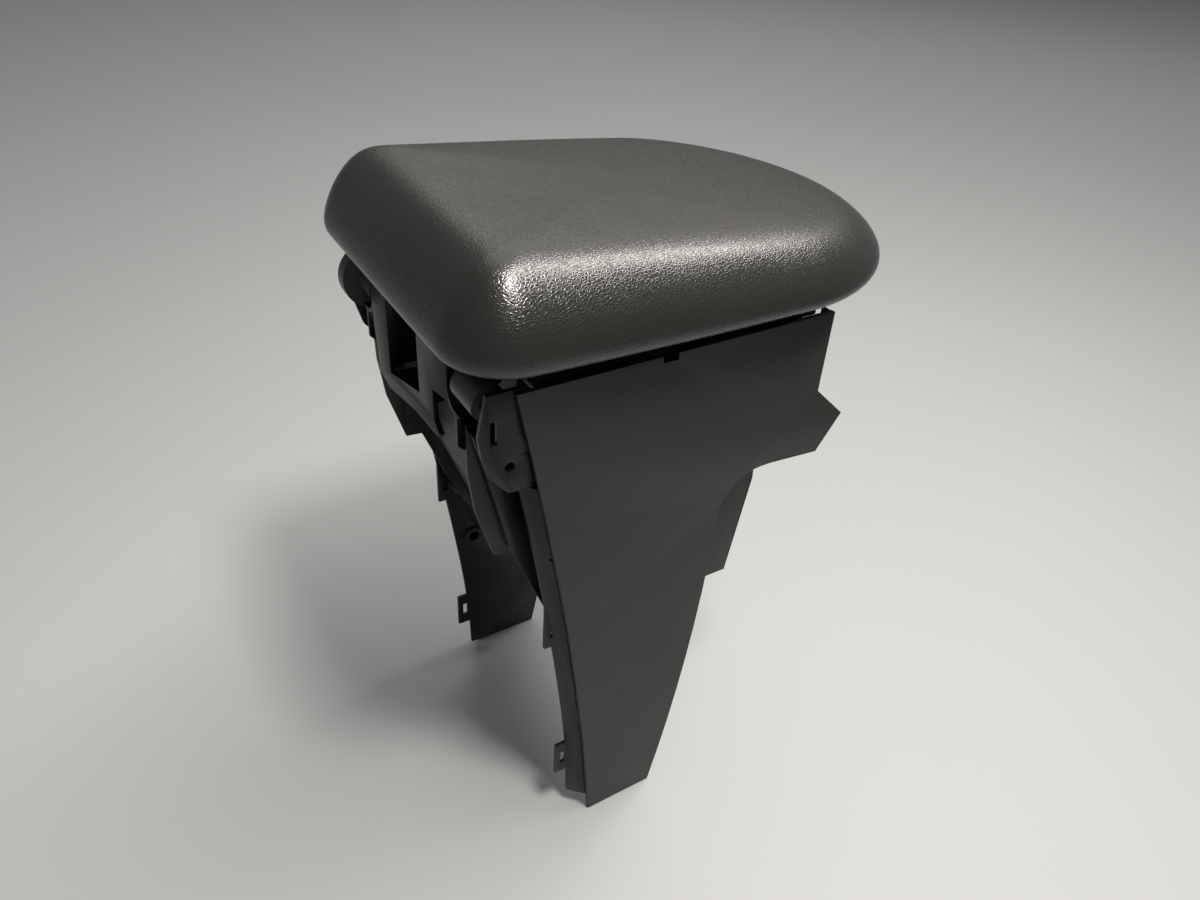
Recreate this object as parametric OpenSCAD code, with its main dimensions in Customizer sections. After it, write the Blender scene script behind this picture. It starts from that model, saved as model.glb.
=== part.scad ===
// Car centre armrest: a padded, hinged lid over a deep storage bin, carried by two side frames on legs.
// Origin: on the floor below the middle of the whole part. +X is the right side, +Y the front, +Z up.

/* [Overall] */
// Width over the outer faces of the two trim panels
console_w = 194; // [190:1:204]
// Height of the trim panels' top edge above the feet
panel_h = 381.5; // [380:0.5:382.5]
// Rear corner of the foot, measured from the middle of the part
foot_rear_y = -64; // [-66:0.5:-62]
// Length of the foot
foot_len = 53; // [48:1:56]
// How far the top rear corner reaches behind the foot
rear_reach = 61.9; // [60:0.1:62.5]
// Share of the rear edge's reach that is bowed and not straight
rear_bow = 0.456; // [0.3:0.01:0.6]
// How far the leg's front edge widens from the foot up to the arch
leg_gain = 27.2; // [20:0.2:30]

/* [Trim panel] */
// Thickness of a trim panel
panel_t = 3; // [2.5:0.1:3.2]
// Top front corner of the panel
top_front_y = 80.4; // [78:0.2:84]
// Upper corner of the flare, in the panel's front edge
lip_y = 81; // [78:0.2:84]
// Distance of that corner below the top edge
lip_drop = 53.9; // [51:0.1:57]
// Foremost tip of the flare
tip_y = 101.3; // [98:0.1:105]
// Distance of that tip below the top edge
tip_drop = 73; // [70:0.5:77]
// How far the flare's ridge stands out from the panel at that tip
ridge_out = 4.5; // [2:0.5:6]
// Rear end of the ridge, where it fades into the panel
ridge_y = 50; // [46:1:60]
// Lower front corner of the flare
under_y = 87.4; // [84:0.2:90]
// Distance of the flare's underside below the top edge
under_drop = 99.5; // [96:0.5:101]
// Radius of the arch between the underside and the leg
arch_r = 29; // [24:1:34]
// Depth of the flare's inward return
return_w = 9; // [6:0.5:10]
// Thickness of the flare's inward return
return_t = 2.2; // [1.8:0.1:3]
// Depth of the return along the panel's front edge
edge_w = 6; // [4:0.5:8]
// Place of the notch in the top edge
notch_y = -35; // [-45:1:-25]
// Length of that notch
notch_len = 10; // [6:0.5:14]
// Depth of that notch
notch_d = 4; // [2:0.5:6]

/* [Side frame] */
// Front of the frames' walls where they bend
neck_y = 66.9; // [65:0.1:69]
// Distance of that bend below the panel's top edge
neck_drop = 46; // [43:0.5:49]
// Clearance between a trim panel and the frame behind it
trim_gap = 0.4; // [0.3:0.05:0.8]
// Wall thickness of the side frame
frame_t = 2.5; // [2:0.1:3]
// Depth of the inner wall's outboard face, from the trim panel's outer face
inner_w = 28; // [26:0.5:30]
// Depth of the nose's inner edge, from the same face
nose_w = 13; // [12:0.5:15]
// How far the nose stands behind the trim panel's rear edge
nose_out = 7; // [6:0.5:9]
// How much further the nose stands out at the foot
nose_toe = 4.5; // [3:0.5:6]
// Height of the nose's lower end
nose_z = 15; // [12:1:20]
// Lower edge of the leg's inner wall
leg_wall_z = 32; // [28:1:40]
// Distance from the leg's front edge back to its inner wall
leg_wall_inset = 32; // [28:1:36]
// Distance of the inner walls' bottom edge below the panel's top edge
belly_drop = 214.5; // [212:0.5:216]
// Distance of the hinge plate's lower edge below the top edge
plate_drop = 62.5; // [61:0.5:64]
// Rearmost edge of the hinge plate behind the trim panel's rear edge
plate_out = 24; // [22:0.5:25]
// Distance of the pocket's floor below the top edge
pocket_drop = 119.5; // [116:0.5:123]
// Distance of the shelf that joins the inner wall to the leg below the top edge
shelf_drop = 188.5; // [185:0.5:191]

/* [Bolts and screws] */
// Radius of the bolt hole in each leg
bolt_r = 4.2; // [3.2:0.1:5.2]
// Distance of that hole below the shelf
bolt_drop = 58; // [50:1:65]
// Place of that hole, ahead of the foot's rear corner
bolt_y = -8; // [-8:0.5:-4]
// Radius of the small screws' shanks
screw_r = 2; // [1.6:0.1:2.2]
// Radius of the small screws' heads
screw_head_r = 3.8; // [3.4:0.1:4.2]
// Radial clearance of a pin in its hole
pin_gap = 0.05; // [0.03:0.01:0.09]

/* [Bin] */
// Wall thickness of the storage bin
bin_t = 2.2; // [1.8:0.1:2.6]
// Side clearance between the bin and the inner walls
bin_gap = 0.5; // [0.3:0.1:1]
// Height of the bin's floor above the inner walls' bottom edge
bin_floor_up = 5; // [3:0.5:10]
// Thickness of the bin's rim flange
rim_t = 2.4; // [2:0.1:3]
// Thickness of the mat on the bin's floor
mat_t = 2; // [1.5:0.5:3]

/* [Hinge] */
// Hinge axis behind the foot's rear corner
hinge_back = 70; // [69:0.5:71]
// Distance of the hinge axis below the panel's top edge
hinge_drop = 10.5; // [10:0.5:11.5]
// Rear face of the cross bracket behind the foot's rear corner
bracket_back = 80; // [79:0.5:81]
// Radius of the hinge pins
pin_r = 3; // [2.5:0.1:3.5]
// Outer radius of the hinge knuckles
knuckle_r = 10; // [9:0.5:11]
// Outer end of the knuckle, from the trim panel's outer face
knuckle_w0 = 13; // [12.5:0.5:15]
// Inner end of the knuckle, from the same face
knuckle_w1 = 38; // [34:0.5:38.5]
// Radius of the spring drum on the left hinge arm
drum_r = 20; // [17:0.5:21]
// Width of that drum
drum_w = 9; // [6:0.5:9.5]
// Inner edge of the hinge pockets, from the same face
pocket_w1 = 42; // [41:0.5:44]
// Radius of the hinge pocket's rounded corner
pocket_r = 9; // [6:0.5:11]
// Height of the hinge pocket's floor below the hinge axis
pocket_down = 13; // [12:0.5:14]
// Thickness of the cross bracket
bracket_t = 3; // [2.5:0.1:3.5]
// Depth of the bracket's stiffening flanges
bracket_d = 20; // [18:0.5:22]
// Right edge of the bracket's window, from the right trim panel's outer face
window_w0 = 82; // [78:1:86]
// Width of the window
window_w = 46; // [40:1:48]
// Distance of the window's lower edge below the hinge axis, at its middle
window_down = 35; // [32:0.5:38]
// How far that edge falls from the right side to the left
window_slant = 12; // [0:1:14]
// Height of the bar below the window
bar_h = 13; // [10:0.5:15]

/* [Lid] */
// Length of the lid's rim from its rear edge to its widest place
lid_rear_len = 184; // [180:1:186]
// Length of the lid's rounded front, ahead of the widest place
lid_front_len = 94; // [90:1:98]
// Half width of the rim at its widest place
lid_half_w = 98; // [96:0.5:100]
// Half width of the rim at the rear
lid_rear_half_w = 94; // [92:0.5:96]
// Radius of the rim's rear corners
lid_corner_r = 17; // [15:1:22]
// Gap between the panels' top edge and the lid's lower edge
lid_gap = 6.5; // [6:0.5:7.5]
// How far the pad's sides bulge past the rim
lid_bulge = 21.5; // [18:0.5:22]
// Height of the pad's widest line above its lower edge
bulge_up = 14.5; // [13:0.5:16]
// Height of the pad's top above its lower edge, at the rear
lid_rear_h = 61; // [58:0.5:63]
// Height of the pad's top above its lower edge, at the front
lid_front_h = 34.5; // [33:0.5:38]
// Radius of the pad's upper edges at the sides
side_round = 32; // [29:1:34]
// Fullness of that rounding: 2 is round, less is flatter with a tighter edge
edge_power = 1.5; // [1.4:0.1:2]
// Fullness of the rim's front in plan: 2 is an ellipse
front_power = 1.9; // [1.8:0.1:2.1]
// Thickness of the pad
pad_t = 9; // [7:0.5:11]
// Wall thickness of the lid's hard shell
core_t = 2.5; // [2:0.1:3]
// Thickness of the lid's lower cover
liner_t = 2.5; // [2:0.1:3]

/* [Latch] */
// Width of the latch lever
lever_w = 56; // [40:2:70]
// Thickness of the latch lever
lever_t = 3; // [2.5:0.1:3.5]
// Radius of the latch pin
latch_pin_r = 1.5; // [1.2:0.1:2]
// Gap between the latch hook and its striker
latch_gap = 0.6; // [0.4:0.1:1]

/* [Hidden] */
half_w = console_w / 2;
neck_z = panel_h - neck_drop;
lip_z = panel_h - lip_drop;
tip_z = panel_h - tip_drop;
under_z = panel_h - under_drop;
belly_z = panel_h - belly_drop;
plate_z = panel_h - plate_drop;
pocket_z = panel_h - pocket_drop;
shelf_z = panel_h - shelf_drop;
bolt_z = shelf_z - bolt_drop;
hinge_z = panel_h - hinge_drop;
lid_z = panel_h + lid_gap;
round_fn = 48;
curve_steps = 16;
eps = 0.01;

// Rear edge of the trim panel, as y at height z: a straight lean plus a parabolic bow
function rear_y(z) = foot_rear_y - rear_reach * (z / panel_h) * (1 - rear_bow * (1 - z / panel_h));
// Front edge of the leg, as y at height z: it widens up to the arch and is upright there
leg_peak_z = under_z - arch_r / 3;
function front_y(z) = foot_rear_y + foot_len + leg_gain * (z / leg_peak_z) * (2 - z / leg_peak_z);
// Points along the rear edge, d behind it, from height a to height b
function rear_pts(a, b, d, n = curve_steps) = [for (i = [0:n]) let (z = a + (b - a) * i / n) [rear_y(z)
    - d, z]];
// Points along the leg's front edge, d behind it, from height a to height b
function front_pts(a, b, d, n = 8) = [for (i = [0:n]) let (z = a + (b - a) * i / n) [front_y(z) - d, z]];
// Points of an arc about c with radius r, from angle a to angle b
function arc(c, r, a, b, n = 8) = [for (i = [0:n]) let (t = a + (b - a) * i / n) c + r * [cos(t), sin(t)]];
// Unit normal to the left of the way from p to q
function left_of(p, q) = let (v = (q - p) / norm(q - p)) [-v[1], v[0]];

// Side-view shapes are drawn with y across and z up, and go w0 to w0 + t inward from the right outer face
module wall(w0, t) {
  translate([half_w - w0 - t, 0, 0]) rotate([90, 0, 90]) linear_extrude(t) children();
}
// A cylinder along X at side-view place p, from depth w0 to w1
module cross_pin(p, r, w0, w1, fn = round_fn) {
  translate([half_w - w1, p[0], p[1]]) rotate([0, 90, 0]) cylinder(h = w1 - w0, r = r, $fn = fn);
}
module bar2d(p, q, t) {
  n = left_of(p, q) * t;
  polygon([p, q, q + n, p + n]);
}
module left_copy() {
  mirror([1, 0, 0]) children();
}

// Trim panels
arch_c = [front_y(under_z - arch_r) + arch_r, under_z - arch_r];
panel_outline = concat(
  rear_pts(0, panel_h, 0),
  [[top_front_y, panel_h], [lip_y, lip_z], [tip_y, tip_z], [under_y, under_z]],
  arc(arch_c, arch_r, 90, 180),
  [for (p = front_pts(under_z - arch_r, 0, 0)) if (p[1] < under_z - arch_r) p]);
flare = [[arch_c[0], under_z], [under_y, under_z], [tip_y, tip_z], [lip_y, lip_z]];
// The return along the upright front edge runs from inside the flare to the panel's top
edge_in = 0.1;
edge_top = [top_front_y - edge_in, panel_h - 5 * edge_in];
edge_low = [lip_y - edge_in, lip_z - 2 * return_t];
// The ridge's rear end, and the share of the ridge's height that is left at the underside's front corner
ridge_end = [ridge_y, tip_z - 3.5];
under_out = ridge_out * (under_y - ridge_y) / (tip_y - ridge_y);
// Raised face of the flare: flush at the back and along the upper edge, highest at the tip
module flare_ridge() {
  base = [ridge_end, [lip_y, lip_z], [tip_y, tip_z], [under_y, under_z], [ridge_y, under_z]];
  raised = [-0.3, -0.3, ridge_out, under_out, -0.3];
  inner = [for (p = base) [half_w - panel_t / 2, p[0], p[1]]];
  outer = [for (i = [0:4]) [half_w + raised[i], base[i][0], base[i][1]]];
  polyhedron(points = concat(inner, outer),
             faces = concat([[4, 3, 2, 1, 0], [5, 6, 7], [5, 7, 8], [5, 8, 9]],
                            [for (i = [0:4]) let (k = (i + 1) % 5) [k + 5, i + 5, i]], [for (i = [0:4])
                                let (k = (i + 1) % 5) [k + 5, i, k]]));
}
module trim_panel() {
  color([0.19, 0.18, 0.17]) difference() {
    union() {
      wall(0, panel_t) polygon(panel_outline);
      flare_ridge();
      wall(panel_t - eps, return_w) for (i = [0:2]) bar2d(flare[i], flare[i + 1], return_t);
      wall(panel_t - eps, edge_w) bar2d(edge_low, edge_top, return_t);
    }
    wall(-1, panel_t + 2) translate([notch_y - notch_len / 2, panel_h - notch_d])
        square([notch_len, notch_d + 1]);
  }
}
module right_trim_panel() trim_panel();
module left_trim_panel() left_copy() trim_panel();

// Side frames
frame_w = panel_t + trim_gap;
frame_top = panel_h - 3.5;
frame_edge = 6;
bolt_at = [foot_rear_y + bolt_y, bolt_z];
plate_top = panel_h + 1;
bracket_y = foot_rear_y - bracket_back;
hinge_at = [foot_rear_y - hinge_back, hinge_z];
// How far the nose stands behind the trim panel at height z, with a longer toe at the foot
function nose_d(z) = nose_out + nose_toe * pow(max(0, 1 - z / 110), 2);
// A solid through rings of points, each ring clockwise as seen from above, from the lowest to the highest
module loft(rings) {
  n = len(rings) - 1;
  m = len(rings[0]);
  sides = [for (i = [0:n - 1]) for (j = [0:m - 1]) let (k = (j + 1) % m)
           for (f = [[i * m + j, i * m + k, (i + 1) * m + k], [i * m + j, (i + 1) * m + k, (i + 1) * m + j]])
               f];
  polyhedron(points = [for (r = rings) for (p = r) p],
             faces = concat([[for (j = [m - 1:-1:0]) j]], sides, [[for (j = [0:m - 1]) n * m + j]]));
}
// A section swept up the rear edge. Each of its points is [depth, share of the nose's reach, offset].
module rear_sweep(section, a, b, n = curve_steps) {
  loft([for (i = [0:n]) let (z = a + (b - a) * i / n)
        [for (s = section) [half_w - s[0], rear_y(z) - s[1] * nose_d(z) + s[2], z]]]);
}
nose_section = [[frame_w, 0, -0.6], [frame_w + 4.6, 0.55, 0], [nose_w, 1, 0], [nose_w + frame_t, 1, 0],
                [nose_w + frame_t, 0, 9], [nose_w, 0, 9], [nose_w, 1, frame_t], [frame_w + 6.2, 0.55, 2],
                [frame_w + frame_t, 0, 1.6], [frame_w + frame_t, 0, 9], [frame_w, 0, 9]];
web_section = [[nose_w + frame_t - 0.2, 0.6, 0], [inner_w + 0.2, 0, 2 - frame_t], [inner_w + 0.2, 0, 2],
               [nose_w + frame_t - 0.2, 0, 2]];
outer_wall = concat(
  rear_pts(nose_z + 12, frame_top, -2),
  [[neck_y - frame_edge + 4, frame_top], [neck_y - frame_edge, neck_z],
      [neck_y - frame_edge, under_z + frame_edge],
   [arch_c[0], under_z + frame_edge]],
  arc(arch_c, arch_r + frame_edge, 98, 180),
  front_pts(under_z - arch_r - 8, nose_z + 12, frame_edge));
hinge_plate = [[rear_y(plate_top) + 8, plate_top], [rear_y(plate_top) - plate_out + 10, plate_top],
               [rear_y(plate_z + 40) - plate_out, plate_z + 40], [rear_y(plate_z + 29)
                   - plate_out - 1, plate_z + 29],
               [rear_y(plate_z + 14) - plate_out, plate_z + 14], [rear_y(plate_z) - 17, plate_z + 2],
                   [rear_y(plate_z) - 6, plate_z],
               [rear_y(plate_z) + 8, plate_z]];
recess_z = plate_z + 25;
recess = [[rear_y(recess_z) - 15, recess_z], [rear_y(recess_z) + 6, recess_z], [rear_y(plate_z)
    + 6.7, plate_z - 1],
          [rear_y(plate_z) - 11.3, plate_z - 1], [rear_y(plate_z) - 18.7, plate_z + 11]];
screw_at = [rear_y(plate_z + 16) - 11, plate_z + 16];
slot_at = [rear_y(plate_z + 41) - 15.5, plate_z + 41];
wall_top_z = hinge_z - 19;
// Room kept round the spring drum
drum_air = 2;
inner_rear = [[bracket_y + bracket_t + 0.2, wall_top_z], [foot_rear_y - 76, plate_z],
              [foot_rear_y - 72, pocket_z + 29], [foot_rear_y - 61, pocket_z - 6],
              [foot_rear_y - 50, pocket_z - 7], [foot_rear_y - 25, shelf_z], [foot_rear_y - 10, belly_z]];
inner_front = [[foot_rear_y + 121, belly_z], [foot_rear_y + 132, belly_z + 79], [neck_y - 5, neck_z],
    [neck_y + 3, frame_top]];
inner_wall = concat(inner_rear, inner_front, [[foot_rear_y - 40, frame_top], [foot_rear_y - 44, hinge_z - 8],
    [foot_rear_y - 58, wall_top_z]]);
bead_top_z = hinge_z - drum_r - drum_air;
bead = [[foot_rear_y - 76, bead_top_z], [foot_rear_y - 54, pocket_z], [foot_rear_y - 51, pocket_z],
    [foot_rear_y - 73, bead_top_z]];
leg_wall = concat(
  rear_pts(leg_wall_z, shelf_z + frame_t, 0, 8),
  [for (i = [0:6]) let (z = shelf_z + frame_t + (leg_wall_z - shelf_z - frame_t) * i / 6) [front_y(z)
      - leg_wall_inset, z]]);
// Cross ribs between the outer and inner walls: [rear end, front end, height]
cross_ribs = [[hinge_at[0] + drum_r + drum_air, neck_y - 4, frame_top - frame_t], [rear_y(pocket_z)
    - 2, rear_y(pocket_z) + 40, pocket_z - frame_t],
              [foot_rear_y + 20, neck_y - 8, under_z + 8]];
// Upright ribs between the same walls: [place, lower end, upper end]
upright_ribs = [[rear_y(pocket_z + 28) + 12, pocket_z, plate_z + 6], [foot_rear_y + 26, shelf_z,
    frame_top - frame_t],
                [foot_rear_y + 118, under_z + 8, frame_top - frame_t]];
foot_tab_z = 57;
// Tabs on the nose: [height of the middle, length, how far forward it is set, length of its slot]
tabs = [[shelf_z + 2, 34, 4, 16], [foot_tab_z, 30, -2, 12]];
clip_places = [[rear_y(plate_z + 21) + 13, plate_z + 21], [rear_y(shelf_z + 12) + 8, shelf_z + 12],
               [rear_y(foot_tab_z) + 8, foot_tab_z], [front_y(shelf_z - 43) - 14, shelf_z - 43],
               [foot_rear_y + 108, under_z + 18], [foot_rear_y + 108, frame_top - 18],
                   [foot_rear_y + 10, frame_top - 10]];
// Core windows in the outer wall, hidden by the trim panel: each opens the bay between ribs behind it
core_r = 5;
core_windows = [[foot_rear_y + 33, foot_rear_y + 100, under_z + 16, frame_top - 18],
                [foot_rear_y + 33, foot_rear_y + 64, shelf_z + 8, under_z],
                [foot_rear_y - 14, foot_rear_y + 21, shelf_z + 8, pocket_z - 6],
                [foot_rear_y - 25, foot_rear_y + 21, pocket_z + 6, frame_top - 26]];
module core_window(c) {
  wall(frame_w - 1, frame_t + 2) {
    translate([c[0], c[2] + core_r]) square([c[1] - c[0], c[3] - c[2] - 2 * core_r]);
    translate([c[0] + core_r, c[2]]) square([c[1] - c[0] - 2 * core_r, c[3] - c[2]]);
    for (y = [c[0] + core_r, c[1] - core_r]) for (z = [c[2] + core_r, c[3] - core_r]) translate([y, z])
        circle(r = core_r, $fn = round_fn);
  }
}
clip_r = 3;
tab_out = 11;
function tab_rear(t) = rear_y(t[0]) - nose_d(t[0]) - tab_out + t[2];
module side_frame() {
  color([0.15, 0.15, 0.145]) difference() {
    union() {
      wall(frame_w, frame_t) polygon(outer_wall);
      wall(frame_w, frame_t + 0.6) polygon(hinge_plate);
      wall(frame_w + frame_t, 5) polygon(recess);
      rear_sweep(nose_section, nose_z, plate_z - 2);
      rear_sweep(web_section, shelf_z + 11, pocket_z, 6);
      wall(inner_w, frame_t) polygon(inner_wall);
      wall(inner_w - 8, 8 + eps) polygon(bead);
      wall(nose_w, frame_t) polygon(leg_wall);
      for (r = cross_ribs) wall(frame_w + eps, inner_w - frame_w) translate([r[0], r[2]])
          square([r[1] - r[0], frame_t]);
      for (r = upright_ribs) wall(frame_w + eps, inner_w - frame_w) translate([r[0], r[1]])
          square([frame_t, r[2] - r[1]]);
      wall(nose_w, inner_w - nose_w + frame_t) translate([rear_y(shelf_z) - 2, shelf_z]) square([80, frame_t]);
      for (t = tabs) wall(nose_w, frame_t) translate([tab_rear(t) + 4, t[0] - t[1] / 2])
          square([tab_out, t[1]]);
      cross_pin(bolt_at, bolt_r + 4, frame_w + eps, nose_w + frame_t + 1.5);
      cross_pin(hinge_at, pin_r + 2.5, frame_w + eps, knuckle_w0 - 0.5);
      translate([half_w - 17, rear_y(pocket_z + 19) - 2, pocket_z + 19]) rotate([-90, 0, 0])
          cylinder(h = 16, r = 5, $fn = round_fn);
      for (p = bracket_bolts) cross_pin(p, screw_r + 2.5, inner_w - 6, inner_w + eps);
      for (y = rim_screws) rim_screw(y, frame_top - 12, 12, screw_r + 2.5);
    }
    wall(frame_w - 1, 3.4) polygon(recess);
    cross_pin(screw_at, 3, frame_w - 1, frame_w + 20);
    cross_pin(bolt_at, bolt_r, frame_w - 1, nose_w + 10);
    cross_pin(hinge_at, pin_r + pin_gap, frame_w + 2, knuckle_w0 + 1);
    wall(frame_w - 1, 6) translate([slot_at[0] - 2, slot_at[1] - 7]) square([4, 14]);
    for (t = tabs) wall(nose_w - 1, frame_t + 2) translate([tab_rear(t) + 8, t[0] - t[3] / 2])
        square([4, t[3]]);
    for (c = clip_places) cross_pin(c, clip_r + 0.3, frame_w - 1, frame_w + frame_t + 0.5);
    for (p = bracket_bolts) cross_pin(p, screw_r + pin_gap, inner_w - 5, inner_w + frame_t + 1);
    for (c = core_windows) core_window(c);
    for (y = rim_screws) rim_screw(y, frame_top - 13, 14, screw_r + pin_gap);
  }
}
// Screws through the cross bracket's side flanges into the inner walls
flange_w0 = inner_w + frame_t + 0.2;
flange_t = 2.4;
bracket_bolts = [[bracket_y + 13, hinge_z - 28], [bracket_y + 22, hinge_z - 44]];
// Screws down through the bin's rim into the frames' top ribs: places along y
rim_screws = [foot_rear_y + 6, foot_rear_y + 64, foot_rear_y + 112];
rim_screw_x = half_w - 17;
module rim_screw(y, z, h, r) {
  translate([rim_screw_x, y, z]) cylinder(h = h, r = r, $fn = round_fn);
}
module right_side_frame() side_frame();
module left_side_frame() left_copy() side_frame();

// Clips that hold a trim panel on its frame: a stem on the panel and a barbed head behind the frame
module trim_clips() {
  color([0.8, 0.78, 0.7]) for (c = clip_places) {
    cross_pin(c, clip_r, panel_t, frame_w + frame_t + 0.2, 24);
    cross_pin(c, clip_r + 1.6, frame_w + frame_t + 0.1, frame_w + frame_t + 1.6, 24);
  }
}
module right_trim_clips() trim_clips();
module left_trim_clips() left_copy() trim_clips();

// Cross bracket between the side frames, just under the lid's rear edge. Its outline is given as
// [depth from the right trim panel's outer face, height].
bracket_top = hinge_z + 11;
far_w1 = console_w - pocket_w1;
window_z = hinge_z - window_down;
bracket_outline = [[pocket_w1, bracket_top], [pocket_w1, hinge_z - 12], [62.5, hinge_z - 16],
    [62.5, hinge_z - 35],
                   [55, hinge_z - 41], [57, hinge_z - 44], [window_w0 + 10, window_z + 2 - bar_h],
                   [window_w0 + window_w + 4, window_z - window_slant / 2 - bar_h],
                       [far_w1 - 4, window_z - window_slant / 2 - bar_h + 4],
                   [far_w1, hinge_z - 12], [far_w1, bracket_top]];
window = [[window_w0, window_z + window_slant / 2], [window_w0, bracket_top + 1],
    [window_w0 + window_w, bracket_top + 1],
          [window_w0 + window_w, window_z - window_slant / 2]];
module rear_plate(y0, t) {
  translate([0, y0 + t, 0]) rotate([90, 0, 0]) linear_extrude(t) children();
}
// A shape drawn as [depth, height] on the rear plane
module by_depth() {
  translate([half_w, 0]) mirror([1, 0]) children();
}
// The U-shaped rim of a hinge pocket: a floor and an inner wall with a rounded corner between them, drawn at depth
pocket_z0 = hinge_z - pocket_down;
module pocket_rim() {
  difference() {
    union() {
      translate([pocket_w1 - pocket_r, pocket_z0 + pocket_r]) circle(r = pocket_r + 2.4, $fn = round_fn);
      translate([flange_w0, pocket_z0 - 2.4]) square([pocket_w1 - pocket_r - flange_w0, pocket_r + 2.4]);
      translate([pocket_w1 - pocket_r, pocket_z0 + pocket_r]) square([pocket_r + 2.4,
          bracket_top - pocket_z0 - pocket_r]);
    }
    translate([pocket_w1 - pocket_r, pocket_z0 + pocket_r]) circle(r = pocket_r, $fn = round_fn);
    translate([-1, pocket_z0]) square([pocket_w1 - pocket_r + 1, 40]);
    translate([-1, pocket_z0 + pocket_r]) square([pocket_w1 + 1, 40]);
  }
}
// Side flange on the inner wall, with the pocket's floor as its upper edge
flange = [[bracket_y + eps, pocket_z0 - 2.4], [bracket_y + eps, hinge_z - 33], [bracket_y + 16, hinge_z - 50],
          [bracket_y + 28, hinge_z - 50], [bracket_y + 28, wall_top_z - 5], [bracket_y + 20, pocket_z0 - 1],
              [bracket_y + 2, pocket_z0 - 1]];
module bracket_side() {
  rear_plate(bracket_y + eps, bracket_d) by_depth() pocket_rim();
  wall(flange_w0, flange_t) polygon(flange);
  cross_pin(hinge_at, pin_r + 4, pocket_w1, pocket_w1 + 5.2);
}
module bracket_side_holes() {
  cross_pin(hinge_at, pin_r + pin_gap, pocket_w1 - 3, pocket_w1 + 8);
  for (p = bracket_bolts) cross_pin(p, screw_r + pin_gap, flange_w0 - 1, flange_w0 + flange_t + 1);
}
module hinge_bracket() {
  color([0.17, 0.17, 0.165]) difference() {
    union() {
      rear_plate(bracket_y, bracket_t) by_depth() polygon(bracket_outline);
      bracket_side();
      left_copy() bracket_side();
      for (w = [window_w0 - 2.2, window_w0 + window_w]) wall(w, 2.2) translate([bracket_y + eps,
          window_z - 2]) square([bracket_d, bracket_top - window_z + 2]);
      rear_plate(bracket_y + eps, bracket_d - 4) by_depth() bar2d([window_w0 + window_w,
          window_z - window_slant / 2], [window_w0, window_z + window_slant / 2], 2.2);
    }
    rear_plate(bracket_y - 1, bracket_t + 2) by_depth() polygon(window);
    bracket_side_holes();
    left_copy() bracket_side_holes();
  }
}
module pan_screw(len) {
  cylinder(h = len, r = screw_r, $fn = 24);
  translate([0, 0, len]) cylinder(h = 2, r = screw_head_r, $fn = 24);
}
module bracket_screws() {
  color("silver") for (m = [0, 1]) mirror([m, 0, 0]) for (p = bracket_bolts)
    translate([half_w - flange_w0 - flange_t + 7, p[0], p[1]]) rotate([0, -90, 0]) pan_screw(7);
}

// Hinge pins, held in the side frame's ear and in the bracket's ear
module hinge_pin() {
  color("silver") cross_pin(hinge_at, pin_r, frame_w + 2.5, pocket_w1 + 4.6);
}
module right_hinge_pin() hinge_pin();
module left_hinge_pin() left_copy() hinge_pin();

// Storage bin between the inner walls, with a rim flange that lies on the side frames
bin_w0 = inner_w + frame_t + bin_gap;
bin_floor = belly_z + bin_floor_up;
bin_floor_rear = foot_rear_y - 7;
bin_floor_front = foot_rear_y + 117;
bin_rear = foot_rear_y - 46;
bin_top_front = neck_y - 1;
rim_front = top_front_y - 7.4;
rim_rear = bin_rear - 2;
rim_side = half_w - 8;
rim_z = frame_top + rim_t;
// Side view of the bin, with every wall moved inward by d
function bin_profile(d) = [[bin_rear + d, rim_z], [bin_rear + 2 + d, pocket_z],
    [foot_rear_y - 19 + d, shelf_z + 6 + d * 0.4],
                           [bin_floor_rear + d, bin_floor + d], [bin_floor_front - d, bin_floor + d],
                           [foot_rear_y + 128 - d, belly_z + 79], [neck_y - 8 - d, neck_z],
                               [bin_top_front - d, rim_z]];
function bin_front_y(z) = neck_y - 8 + 7 * (z - neck_z) / (rim_z - neck_z);
module storage_bin() {
  color([0.12, 0.12, 0.12]) difference() {
    union() {
      wall(bin_w0, console_w - 2 * bin_w0) polygon(bin_profile(0));
      translate([-rim_side, rim_rear, frame_top]) cube([2 * rim_side, rim_front - rim_rear, rim_t]);
    }
    wall(bin_w0 + bin_t, console_w - 2 * (bin_w0 + bin_t)) polygon(concat([[bin_rear + bin_t, rim_z + 1]],
        bin_profile(bin_t), [[bin_top_front - bin_t, rim_z + 1]]));
    for (m = [0, 1]) mirror([m, 0, 0]) for (y = rim_screws) rim_screw(y, frame_top - 1, rim_t + 2,
        screw_r + pin_gap);
  }
}
mat_gap = 1;
module bin_mat() {
  side = half_w - bin_w0 - bin_t - mat_gap;
  rear = bin_floor_rear + bin_t + mat_gap;
  color([0.1, 0.1, 0.1]) translate([-side, rear, bin_floor + bin_t])
    cube([2 * side, bin_floor_front - bin_t - mat_gap - rear, mat_t]);
}
module bin_screws() {
  color("silver") for (s = [-1, 1]) for (y = rim_screws) translate([s * rim_screw_x, y, rim_z - 10])
      pan_screw(10);
}
// Rubber stops on the rim, which the lid rests on
bumper_x = half_w - 24;
bumper_r = 5;
bumper_places = [foot_rear_y - 14, foot_rear_y + 126];
module lid_bumpers() {
  color([0.06, 0.06, 0.06]) for (s = [-1, 1]) for (y = bumper_places) translate([s * bumper_x, y, rim_z])
    cylinder(h = liner_z - rest_gap - rim_z, r = bumper_r, $fn = round_fn);
}
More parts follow.
